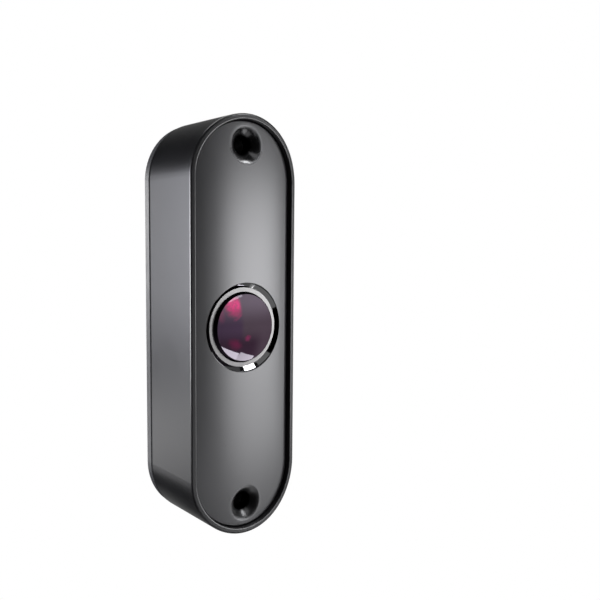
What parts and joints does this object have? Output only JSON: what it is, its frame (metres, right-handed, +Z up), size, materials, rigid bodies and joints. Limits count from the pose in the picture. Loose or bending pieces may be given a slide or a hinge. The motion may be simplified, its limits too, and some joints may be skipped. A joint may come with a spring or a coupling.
{
  "type": "gate photocell",
  "caption": "Slim stadium-shaped gate photocell: crowned dark housing and front plate, countersunk fixing holes and a domed dark red lens in a bright ring; wall-fixed infrared receiver.",
  "frame": {"origin": "centre of the back face, on the wall plane", "axes": "+Z up along the housing, +Y into the wall, the lens looks along -Y, +X to the right seen from the front"},
  "size_m": [0.0334, 0.0252, 0.11],
  "materials": {
    "housing": "satin black moulded plastic with a fine grain",
    "plate": "satin black moulded plastic, polished in the countersinks",
    "base": "grained moulded plastic, dark grey",
    "ring": "dark polished dish with a satin silver flat face",
    "lens": "clear polished infrared filter, dark red",
    "rubber": "matt",
    "shield": "matt black",
    "board": "green solder resist",
    "steel": "zinc plated",
    "sensor": "black daylight filter",
    "lamp": "clear red resin on a white carrier",
    "chip": "black moulding with tinned legs",
    "relay": "white case",
    "can": "drawn aluminium can",
    "varistor": "blue coating",
    "header": "black moulding with gilt pins",
    "terminal": "green moulding",
    "brass": "tinned brass"
  },
  "bodies": {
    "root": {"rear_base": "base", "base_seal": "rubber", "cable_grommet": "rubber", "housing_shell": "housing", "front_plate": "plate", "lens_ring": "ring", "lens": "lens", "lens_seal": "rubber", "optic_tube": "shield", "circuit_board": "board", "board_screws": "steel", "photodiode": "sensor", "status_led": "lamp", "control_chip": "chip", "output_relay": "relay", "supply_capacitor": "can", "bridge_rectifier": "chip", "voltage_regulator": "chip", "surge_varistor": "varistor", "jumper_pins": "header", "jumper_cap": "header", "terminal_block": "terminal", "terminal_clamps": "brass", "terminal_screws": "steel"}
  },
  "joints": []
}
